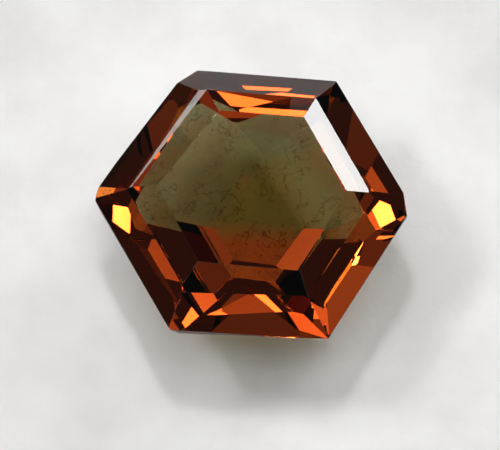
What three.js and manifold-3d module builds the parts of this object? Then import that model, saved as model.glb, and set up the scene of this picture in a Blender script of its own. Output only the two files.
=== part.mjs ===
// A loose alexandrite, cut and polished as a six-sided step-cut stone.
// Millimetres and degrees, +Z up through the table. The origin is the middle of the culet,
// the small flat that the stone stands on. Compass turns run clockwise from +Y, seen from above.
import * as THREE from 'three';
import { mergeVertices } from 'three/addons/utils/BufferGeometryUtils.js';
import Module from 'manifold-3d';

// Driving dimensions
const pavilionDepth = 2.97;
const girdleThickness = 0.11;
const tableHeight = 1.12;

// Height of the girdle's two edges and of the table, and where the middle pavilion step is measured
const girdleBottom = pavilionDepth;
const girdleTop = girdleBottom + girdleThickness;
const tableLevel = girdleTop + tableHeight;
const middleLevel = 0.8;
const culetLevel = 0;

// The six sides, clockwise from the back. The wall is the girdle. The outer crown facet and the
// upper pavilion facet run from the wall's edges. The others have a reach of their own, the distance
// from the middle: the inner crown facet's and the bevel's at the table, the middle pavilion facet's
// at middleLevel and the lower one's at the culet. A slope is measured from level.
const sides = [
  {
    wall: { turn: 2, reach: 5.42 },
    outer: { turn: 2, slope: 35.5 },
    inner: { turn: 2, slope: 19, reach: 3.37 },
    upper: { turn: 359.5, slope: 50 },
    middle: { turn: 6, slope: 41.5, reach: 3.41 },
    lower: { turn: 358, slope: 40.5, reach: 2.62 },
  },
  {
    wall: { turn: 58.5, reach: 4.99 },
    outer: { turn: 59.5, slope: 33 },
    inner: { turn: 59.5, slope: 22, reach: 2.96 },
    upper: { turn: 58, slope: 47.5 },
    middle: { turn: 55.5, slope: 29, reach: 2.74 },
    lower: { turn: 64, slope: 28, reach: 1.4 },
  },
  {
    wall: { turn: 118, reach: 4.74 },
    outer: { turn: 116.5, slope: 31 },
    inner: { turn: 115.5, slope: 23.5, reach: 2.65 },
    upper: { turn: 120, slope: 51 },
    middle: { turn: 121.5, slope: 28, reach: 2.99 },
    lower: { turn: 111, slope: 27, reach: 1.67 },
  },
  {
    wall: { turn: 181, reach: 4.9 },
    outer: { turn: 181, slope: 32 },
    inner: { turn: 182.5, slope: 19, reach: 2.68 },
    upper: { turn: 177.5, slope: 47.5 },
    middle: { turn: 184, slope: 31.5, reach: 2.91 },
    lower: { turn: 176.5, slope: 30.5, reach: 1.71 },
  },
  {
    wall: { turn: 238.5, reach: 5.08 },
    outer: { turn: 239.5, slope: 37 },
    inner: { turn: 240.5, slope: 18.5, reach: 3.08 },
    upper: { turn: 235.5, slope: 49.5 },
    middle: { turn: 239.5, slope: 31.5, reach: 2.85 },
    lower: { turn: 246, slope: 30.5, reach: 1.7 },
  },
  {
    wall: { turn: 301.5, reach: 5.4 },
    outer: { turn: 302, slope: 34 },
    inner: { turn: 303.5, slope: 19, reach: 3.28 },
    upper: { turn: 297, slope: 46.5 },
    middle: { turn: 296.5, slope: 29, reach: 2.72 },
    lower: { turn: 308.5, slope: 28, reach: 1.4 },
    bevel: { turn: 303, slope: 26.5, reach: 3.545 },
  },
];

// Three of the girdle's corners are blunted: the back left one, the right one and the left one.
const corners = [
  { wall: { turn: 322.5, reach: 5.93 }, outer: { turn: 322.5, slope: 35 }, upper: { turn: 322.5, slope: 47 } },
  { wall: { turn: 79.5, reach: 5.34 }, outer: { turn: 79.5, slope: 31.5 }, upper: { turn: 79.5, slope: 68 } },
  { wall: { turn: 273.5, reach: 6 }, outer: { turn: 273.5, slope: 34 }, upper: { turn: 273.5, slope: 40 } },
];

const wasm = await Module();
wasm.setup();

function radians(degrees) {
  return THREE.MathUtils.degToRad(degrees);
}

// The level direction that a compass turn points in.
function heading(turn) {
  return new THREE.Vector3(Math.sin(radians(turn)), Math.cos(radians(turn)), 0);
}

function toSolid(geometry) {
  const bare = geometry.clone();
  bare.deleteAttribute('normal');
  bare.deleteAttribute('uv');
  const merged = mergeVertices(bare, 1e-5);
  return new wasm.Manifold(new wasm.Mesh({
    numProp: 3,
    vertProperties: new Float32Array(merged.attributes.position.array),
    triVerts: new Uint32Array(merged.index.array),
  }));
}

function toGeometry(solid) {
  const cut = solid.getMesh();
  const geometry = new THREE.BufferGeometry();
  geometry.setAttribute('position', new THREE.BufferAttribute(cut.vertProperties, 3));
  geometry.setIndex(new THREE.BufferAttribute(cut.triVerts, 1));
  return geometry;
}

// The rough block that the facets are ground into, and how far a facet may be off flat.
const roughSize = 16;
const polishTolerance = 0.0005;

function roughBlock() {
  const height = tableLevel - culetLevel;
  const block = new THREE.BoxGeometry(roughSize, roughSize, height);
  block.translate(0, 0, culetLevel + height / 2);
  return toSolid(block);
}

// Grinds one flat facet: everything beyond the plane through the point, facing along normal, goes.
function grind(stone, normal, point) {
  const lap = new THREE.BoxGeometry(3 * roughSize, 3 * roughSize, roughSize);
  lap.translate(0, 0, roughSize / 2);
  const facing = new THREE.Quaternion().setFromUnitVectors(new THREE.Vector3(0, 0, 1), normal);
  lap.applyQuaternion(facing);
  lap.translate(point.x, point.y, point.z);
  return stone.subtract(toSolid(lap));
}

// The point at this level that a facet with a reach passes through.
function pointOn(facet, level) {
  return heading(facet.turn).multiplyScalar(facet.reach).setZ(level);
}

function crownNormal(facet) {
  return heading(facet.turn).multiplyScalar(Math.sin(radians(facet.slope))).setZ(Math.cos(radians(facet.slope)));
}

function pavilionNormal(facet) {
  return heading(facet.turn).multiplyScalar(Math.sin(radians(facet.slope))).setZ(-Math.cos(radians(facet.slope)));
}

// The wall with the two facets that run from its edges.
function grindEdge(stone, place) {
  const walled = grind(stone, heading(place.wall.turn), pointOn(place.wall, girdleTop));
  const crowned = grind(walled, crownNormal(place.outer), pointOn(place.wall, girdleTop));
  return grind(crowned, pavilionNormal(place.upper), pointOn(place.wall, girdleBottom));
}

function grindSteps(stone, side) {
  const crowned = grind(stone, crownNormal(side.inner), pointOn(side.inner, tableLevel));
  const stepped = grind(crowned, pavilionNormal(side.middle), pointOn(side.middle, middleLevel));
  return grind(stepped, pavilionNormal(side.lower), pointOn(side.lower, culetLevel));
}

function cutStone() {
  let stone = roughBlock();
  for (const side of sides) {
    stone = grindEdge(stone, side);
    stone = grindSteps(stone, side);
    if (side.bevel) {
      stone = grind(stone, crownNormal(side.bevel), pointOn(side.bevel, tableLevel));
    }
  }
  for (const corner of corners) {
    stone = grindEdge(stone, corner);
  }
  return toGeometry(stone.asOriginal().simplify(polishTolerance));
}

const material = new THREE.MeshStandardMaterial({ color: 0x6b3c18, roughness: 0.03, metalness: 0 });
const stone = new THREE.Mesh(cutStone(), material);
stone.name = 'alexandrite';

const part = new THREE.Group();
part.add(stone);

export default part;
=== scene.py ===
import math

import bpy
from mathutils import Matrix, Vector


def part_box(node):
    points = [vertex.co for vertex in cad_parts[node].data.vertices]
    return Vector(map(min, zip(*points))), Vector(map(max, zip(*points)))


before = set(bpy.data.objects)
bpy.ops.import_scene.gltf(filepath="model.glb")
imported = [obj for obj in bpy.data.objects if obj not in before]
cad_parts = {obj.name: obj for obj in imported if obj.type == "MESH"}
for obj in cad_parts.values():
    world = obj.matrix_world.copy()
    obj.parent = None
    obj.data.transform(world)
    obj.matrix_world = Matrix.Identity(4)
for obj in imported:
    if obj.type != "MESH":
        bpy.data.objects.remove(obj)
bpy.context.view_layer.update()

# The stone is a single crystal of chrysoberyl, ground with flat facets and polished until it is clear.
# Light that goes straight through comes out olive. Light that is thrown about inside on long paths
# comes out orange and red. The junctions between its facets are a little rubbed from handling, and the pale
# line along them is partly a painted highlight.
MM = 0.001
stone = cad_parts["alexandrite"]
stone_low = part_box("alexandrite")[0]
GIRDLE_LEVEL = 3.08 * MM
CHRYSOBERYL_IOR = 1.745

CROWN_CLEAR = (1.0, 0.98, 0.94, 1)
PAVILION_GREEN = (0.115, 0.36, 0.18, 1)
PAVILION_BROWN = (0.19, 0.3, 0.16, 1)
DEEP_PALE = (0.19, 0.63, 0.4, 1)
# The warm colour below is painted light, the caustic that falls under the stone's front.
PAINTED_CAUSTIC_WARM = (0.46, 0.35, 0.13, 1)
# The pale colour of the rubbed edges is partly wear and partly a painted highlight.
RUBBED_PALE_AND_GLINT = (0.85, 0.8, 0.74, 1)
SPECK_DARK = (0.03, 0.05, 0.02, 1)

# The colour that light turns on long paths inside the stone, and how fast it turns, per metre.
LONG_PATH_COLOUR = (0.917, 0.45, 0.0, 1)
LONG_PATH_DENSITY = 360.0

DEEP_ZONE_TOP = 0.95 * MM
DEEP_ZONE_FULL = 0.5 * MM
# Where the painted caustic begins and where it is full, from the back of the stone towards its front.
CAUSTIC_FRONT_START = 0.0
CAUSTIC_FRONT_FULL = -0.9 * MM
PAVILION_FADE = 0.05 * MM
NEEDLE_CENTRE = 0.5
WORN_EDGE_RADIUS = 0.035 * MM
WORN_ROUGHNESS = 0.18
LAP_LINE_DEPTH = 0.01 * MM

crystal = bpy.data.materials.new("alexandrite_crystal")
crystal.use_nodes = True
crystal_tree = crystal.node_tree
crystal_shader = crystal_tree.nodes["Principled BSDF"]
crystal_shader.inputs["IOR"].default_value = CHRYSOBERYL_IOR
point = crystal_tree.nodes.new("ShaderNodeNewGeometry")
point_parts = crystal_tree.nodes.new("ShaderNodeSeparateXYZ")
crystal_tree.links.new(point.outputs["Position"], point_parts.inputs["Vector"])


# Sets a socket to a plain value, or links it to what another node gives.
def feed(tree, value, socket):
    if isinstance(value, bpy.types.NodeSocket):
        tree.links.new(value, socket)
    else:
        socket.default_value = value


def blend_colours(tree, share, first, second):
    mix = tree.nodes.new("ShaderNodeMix")
    mix.data_type = "RGBA"
    share_socket, first_socket, second_socket = mix.inputs[0], mix.inputs[6], mix.inputs[7]
    feed(tree, share, share_socket)
    feed(tree, first, first_socket)
    feed(tree, second, second_socket)
    return mix.outputs[2]


def work_out(tree, operation, *values):
    working = tree.nodes.new("ShaderNodeMath")
    working.operation = operation
    for value, socket in zip(values, working.inputs):
        feed(tree, value, socket)
    return working.outputs[0]


def remap(tree, value, low, high, to_low=0.0, to_high=1.0):
    change = tree.nodes.new("ShaderNodeMapRange")
    feed(tree, value, change.inputs["Value"])
    feed(tree, low, change.inputs["From Min"])
    feed(tree, high, change.inputs["From Max"])
    feed(tree, to_low, change.inputs["To Min"])
    feed(tree, to_high, change.inputs["To Max"])
    return change.outputs["Result"]


# Cloudy unevenness, with so many clouds to a metre.
def noise(tree, point, scale, detail=3.0):
    clouds = tree.nodes.new("ShaderNodeTexNoise")
    feed(tree, scale, clouds.inputs["Scale"])
    feed(tree, detail, clouds.inputs["Detail"])
    feed(tree, point.outputs["Position"], clouds.inputs["Vector"])
    return clouds.outputs["Fac"]


# Growth zoning makes soft patches that are greener or browner.
zoning = remap(crystal_tree, noise(crystal_tree, point, scale=420.0, detail=4.0), low=0.4, high=0.6)
pavilion = blend_colours(crystal_tree, zoning, PAVILION_GREEN, PAVILION_BROWN)

# The deepest part is a paler zone. Its front is painted warmer: a painted caustic, the warm light that the
# stone throws on the floor beneath, put into the crystal's tint.
deep = remap(crystal_tree, point_parts.outputs["Z"], DEEP_ZONE_TOP, DEEP_ZONE_FULL)
front = remap(crystal_tree, point_parts.outputs["Y"], CAUSTIC_FRONT_START, CAUSTIC_FRONT_FULL)
deep_tint_and_caustic = blend_colours(crystal_tree, front, DEEP_PALE, PAINTED_CAUSTIC_WARM)
pavilion = blend_colours(crystal_tree, deep, pavilion, deep_tint_and_caustic)

# Fine dark needles and feathers of other mineral lie in flocks in the lower part. A needle runs
# where the clouds are neither thick nor thin.
thickness = noise(crystal_tree, point, scale=2300.0, detail=5.0)
off_centre = work_out(crystal_tree, "ABSOLUTE", work_out(crystal_tree, "SUBTRACT", thickness, NEEDLE_CENTRE))
darkness = remap(crystal_tree, off_centre, low=0.004, high=0.022, to_low=0.85, to_high=0.0)
flock = remap(crystal_tree, noise(crystal_tree, point, scale=750.0, detail=2.0), low=0.42, high=0.55)
needles = work_out(crystal_tree, "MULTIPLY", darkness, flock)
pavilion = blend_colours(crystal_tree, needles, pavilion, SPECK_DARK)

# The crown has hardly any tint. The pavilion's begins just under the girdle's upper edge.
below = remap(crystal_tree, point_parts.outputs["Z"], GIRDLE_LEVEL, GIRDLE_LEVEL - PAVILION_FADE)
body_colour = blend_colours(crystal_tree, below, CROWN_CLEAR, pavilion)

# Where two facets meet, the polish is worn in patches to a fine pale line, which is partly rubbed wear and
# partly a painted highlight along the edges.
rounded = crystal_tree.nodes.new("ShaderNodeBevel")
rounded.samples = 4
rounded.inputs["Radius"].default_value = WORN_EDGE_RADIUS
agreement = crystal_tree.nodes.new("ShaderNodeVectorMath")
agreement.operation = "DOT_PRODUCT"
crystal_tree.links.new(rounded.outputs["Normal"], agreement.inputs[0])
crystal_tree.links.new(point.outputs["True Normal"], agreement.inputs[1])
flatness = work_out(crystal_tree, "ABSOLUTE", agreement.outputs["Value"])
edge = remap(crystal_tree, flatness, low=0.999, high=0.95)
patches = remap(crystal_tree, noise(crystal_tree, point, scale=1500.0), low=0.42, high=0.6, to_low=0.25)
worn_and_glint = work_out(crystal_tree, "MULTIPLY", edge, patches)
surface_colour = blend_colours(crystal_tree, worn_and_glint, body_colour, RUBBED_PALE_AND_GLINT)
feed(crystal_tree, surface_colour, crystal_shader.inputs["Base Color"])
clearness = remap(crystal_tree, worn_and_glint, low=0.0, high=1.0, to_low=1.0, to_high=0.9)
feed(crystal_tree, clearness, crystal_shader.inputs["Transmission Weight"])

# The polish is bright, with a trace of haze and the finest lap lines.
haze = remap(crystal_tree, noise(crystal_tree, point, scale=700.0), low=0.55, high=0.75, to_high=0.01)
polish = work_out(crystal_tree, "MULTIPLY_ADD", worn_and_glint, WORN_ROUGHNESS, haze)
feed(crystal_tree, polish, crystal_shader.inputs["Roughness"])
lap_lines = crystal_tree.nodes.new("ShaderNodeBump")
lap_lines.inputs["Strength"].default_value = 0.02
lap_lines.inputs["Distance"].default_value = LAP_LINE_DEPTH
feed(crystal_tree, noise(crystal_tree, point, scale=500.0, detail=1.0), lap_lines.inputs["Height"])
feed(crystal_tree, lap_lines.outputs["Normal"], crystal_shader.inputs["Normal"])

absorbing = crystal_tree.nodes.new("ShaderNodeVolumeAbsorption")
absorbing.inputs["Color"].default_value = LONG_PATH_COLOUR
absorbing.inputs["Density"].default_value = LONG_PATH_DENSITY
feed(crystal_tree, absorbing.outputs["Volume"], crystal_tree.nodes["Material Output"].inputs["Volume"])
stone.data.materials.clear()
stone.data.materials.append(crystal)

# The floor is a plain pale board with a matt face and a faint tooth. The culet stands on it, with
# the hair's breadth of air that keeps polished stone and board apart.
FLOOR_REACH = 300 * MM
FLOOR_GAP = 0.03 * MM
FLOOR_LIGHT = (0.92, 0.915, 0.9, 1)
FLOOR_SHADE = (0.84, 0.825, 0.81, 1)
TOOTH_DEPTH = 0.08 * MM
floor_level = stone_low[2] - FLOOR_GAP
floor_corners = []
for side_x, side_y in ((-1, -1), (1, -1), (1, 1), (-1, 1)):
    floor_corners.append((side_x * FLOOR_REACH, side_y * FLOOR_REACH, floor_level))
floor_mesh = bpy.data.meshes.new("pale_floor")
floor_mesh.from_pydata(floor_corners, [], [(0, 1, 2, 3)])
floor = bpy.data.objects.new("pale_floor", floor_mesh)
bpy.context.scene.collection.objects.link(floor)

matt = bpy.data.materials.new("matt_floor")
matt.use_nodes = True
floor_tree = matt.node_tree
floor_shader = floor_tree.nodes["Principled BSDF"]
floor_shader.inputs["Specular IOR Level"].default_value = 0.2
floor_point = floor_tree.nodes.new("ShaderNodeNewGeometry")
mottle = remap(floor_tree, noise(floor_tree, floor_point, scale=220.0, detail=4.0), low=0.38, high=0.62)
floor_colour = blend_colours(floor_tree, mottle, FLOOR_LIGHT, FLOOR_SHADE)
feed(floor_tree, floor_colour, floor_shader.inputs["Base Color"])
dullness = remap(floor_tree, noise(floor_tree, floor_point, scale=900.0), low=0.3, high=0.7, to_low=0.85)
feed(floor_tree, dullness, floor_shader.inputs["Roughness"])
tooth = floor_tree.nodes.new("ShaderNodeBump")
tooth.inputs["Strength"].default_value = 0.35
tooth.inputs["Distance"].default_value = TOOTH_DEPTH
feed(floor_tree, noise(floor_tree, floor_point, scale=1400.0, detail=5.0), tooth.inputs["Height"])
feed(floor_tree, tooth.outputs["Normal"], floor_shader.inputs["Normal"])
floor_mesh.materials.append(matt)

# Softboxes of white cloth hang round the stone, so that each lights a few facets and leaves the next
# ones dark. For each: its compass turn, clockwise from the stone's back, its height above level, how
# wide and how tall it looks from the stone, all in degrees, and its brightness.
SOFTBOX_DISTANCE = 420 * MM
softboxes = {
    "bevel_line": (323, 22, 5, 5, 2.2),
    "left_spark": (279, 61.5, 4.5, 3, 0.6),
    "strip_spark_high": (318.5, 66, 4, 6, 5),
    "strip_spark_low": (327.5, 61.5, 4, 3, 5),
    "overhead": (300, 84, 11, 11, 0.55),
    "left_front": (250, 37.5, 10, 9, 1.8),
    "back_left_low": (315, 11, 9, 8, 0.4),
    "back": (6, 33, 10, 18, 0.3),
    "back_top": (18, 79.5, 7, 21, 2.8),
    "back_low": (20, 7.5, 20, 15, 0.99),
    "back_sliver": (20, 64.5, 2, 9, 3),
    "back_right_square": (32, 46.5, 26, 27, 0.22),
    "back_right": (36, 28.5, 21, 9, 9.5),
    "back_right_wide": (42, 28.5, 32, 9, 0.85),
    "back_right_high": (45, 37.5, 10, 9, 7.4),
    "back_right_top": (42, 55.5, 8, 9, 8.5),
    "right_high": (69, 44.5, 10, 6, 2.8),
    "right": (78, 28.5, 11, 9, 4.2),
    "right_top": (90, 79.5, 7, 21, 4),
    "right_top_wide": (108, 73.5, 20, 9, 0.87),
    "front_right": (143, 19.5, 9, 9, 0.1),
    "front_top": (163, 73.5, 10, 9, 4.5),
    "left_corner_gleam": (202.5, 43.4, 4.5, 3.2, 14),
    "front_left": (212, 37.5, 10, 9, 0.08),
    "front_left_top": (234, 73.5, 10, 9, 2.9),
    "left_top": (244, 74, 12, 9, 0.9),
    "left_top_tall": (254, 64.5, 6, 27, 1.2),
    "left_high": (262, 46.5, 10, 9, 2.4),
    "left_wide": (264, 42, 29, 18, 0.13),
    "left": (290, 37.5, 10, 9, 3.2),
    "back_left": (306, 28.5, 32, 9, 1.8),
    "back_left_tall": (306, 37.5, 10, 27, 1.5),
    "back_left_high": (308, 46.5, 10, 9, 2),
    "back_left_higher": (315, 55.5, 10, 9, 0.12),
    "back_left_top": (323, 64.5, 12, 9, 0.3),
    "right_corner_gleam": (322.5, 49.5, 4, 3.4, 17),
    "front_corner_gleam": (325, 43.5, 8, 3.2, 6),
    "back_left_top_tall": (333, 64.5, 8, 27, 0.25),
    "back_left_wide": (334, 19.5, 29, 9, 1.1),
    "back_high": (338, 46.5, 10, 9, 4.9),
    "back_low_wide": (345, 15.5, 29, 17, 0.1),
    "back_high_tall": (352, 51, 9, 18, 0.49),
}


def aim_lamp(lamp, turn, height, distance):
    level = math.cos(math.radians(height))
    east = math.sin(math.radians(turn)) * level
    north = math.cos(math.radians(turn)) * level
    way = Vector((east, north, math.sin(math.radians(height))))
    lamp.location = Vector((0, 0, GIRDLE_LEVEL)) + way * distance
    lamp.rotation_euler = way.to_track_quat("Z", "Y").to_euler()
    bpy.context.scene.collection.objects.link(lamp)


for name, (turn, height, wide, tall, brightness) in softboxes.items():
    cloth = bpy.data.lights.new(name, "AREA")
    cloth.shape = "RECTANGLE"
    cloth.size = 2 * SOFTBOX_DISTANCE * math.tan(math.radians(wide / 2))
    cloth.size_y = 2 * SOFTBOX_DISTANCE * math.tan(math.radians(tall / 2))
    cloth.energy = brightness * math.pi * cloth.size * cloth.size_y
    aim_lamp(bpy.data.objects.new(name, cloth), turn, height, SOFTBOX_DISTANCE)

# Two small lamps in narrow hoods stand closer than the softboxes, light the floor round the stone and
# throw its soft shadow. For each: its compass turn and its height in degrees, and its power in watts.
HOOD_DISTANCE = 100 * MM
HOOD_WIDTH = 16 * MM
HOOD_SPREAD = math.radians(26)
hooded_lamps = {
    "hood_left": (292, 45, 0.00048),
    "hood_back": (350, 60, 0.0006),
}
for name, (turn, height, power) in hooded_lamps.items():
    bulb = bpy.data.lights.new(name, "AREA")
    bulb.shape = "DISK"
    bulb.size = HOOD_WIDTH
    bulb.spread = HOOD_SPREAD
    bulb.energy = power
    aim_lamp(bpy.data.objects.new(name, bulb), turn, height, HOOD_DISTANCE)

# The rest of the room is dim and has no colour of its own. It only keeps the facets that no lamp
# reaches from turning quite black.
ROOM_BRIGHTNESS = 0.032
room = bpy.data.worlds.new("dim_room")
room.use_nodes = True
room.node_tree.nodes["Background"].inputs["Color"].default_value = (1, 1, 1, 1)
room.node_tree.nodes["Background"].inputs["Strength"].default_value = ROOM_BRIGHTNESS
bpy.context.scene.world = room

# The camera stands a little in front of the stone and looks steeply down on it, through a long lens.
# Its tilt is counted from straight down and its turn from the stone's back. Light is followed through
# enough facets for the stone's long inner paths.
CAMERA_TILT = math.radians(22.9)
CAMERA_TURN = math.radians(-3)
CAMERA_DISTANCE = 150 * MM
AIM_POINT = Vector((-0.18 * MM, 0.24 * MM, GIRDLE_LEVEL))
PICTURE_WIDTH_PIXELS = 500
PIXEL_SIZE = 0.0366 * MM
SHIFT_ACROSS_PIXELS = -4.4
SHIFT_UP_PIXELS = -21
SENSOR_MM = 36
NEAREST_SEEN = 5 * MM
FACETS_FOLLOWED = 24
ahead = math.sin(CAMERA_TILT)
look = Vector((math.sin(CAMERA_TURN) * ahead, math.cos(CAMERA_TURN) * ahead, -math.cos(CAMERA_TILT)))
across = Vector((math.cos(CAMERA_TURN), -math.sin(CAMERA_TURN), 0))
upward = across.cross(look)
lens = bpy.data.cameras.new("camera")
lens.sensor_width = SENSOR_MM
lens.lens = SENSOR_MM * CAMERA_DISTANCE / (PICTURE_WIDTH_PIXELS * PIXEL_SIZE)
lens.shift_x = SHIFT_ACROSS_PIXELS / PICTURE_WIDTH_PIXELS
lens.shift_y = SHIFT_UP_PIXELS / PICTURE_WIDTH_PIXELS
lens.clip_start = NEAREST_SEEN
camera = bpy.data.objects.new("camera", lens)
placing = Matrix((across, upward, -look)).transposed().to_4x4()
placing.translation = AIM_POINT - look * CAMERA_DISTANCE
camera.matrix_world = placing
bpy.context.scene.collection.objects.link(camera)
bpy.context.scene.camera = camera
bpy.context.scene.view_settings.view_transform = "Standard"
bpy.context.scene.cycles.max_bounces = FACETS_FOLLOWED
bpy.context.scene.cycles.transmission_bounces = FACETS_FOLLOWED
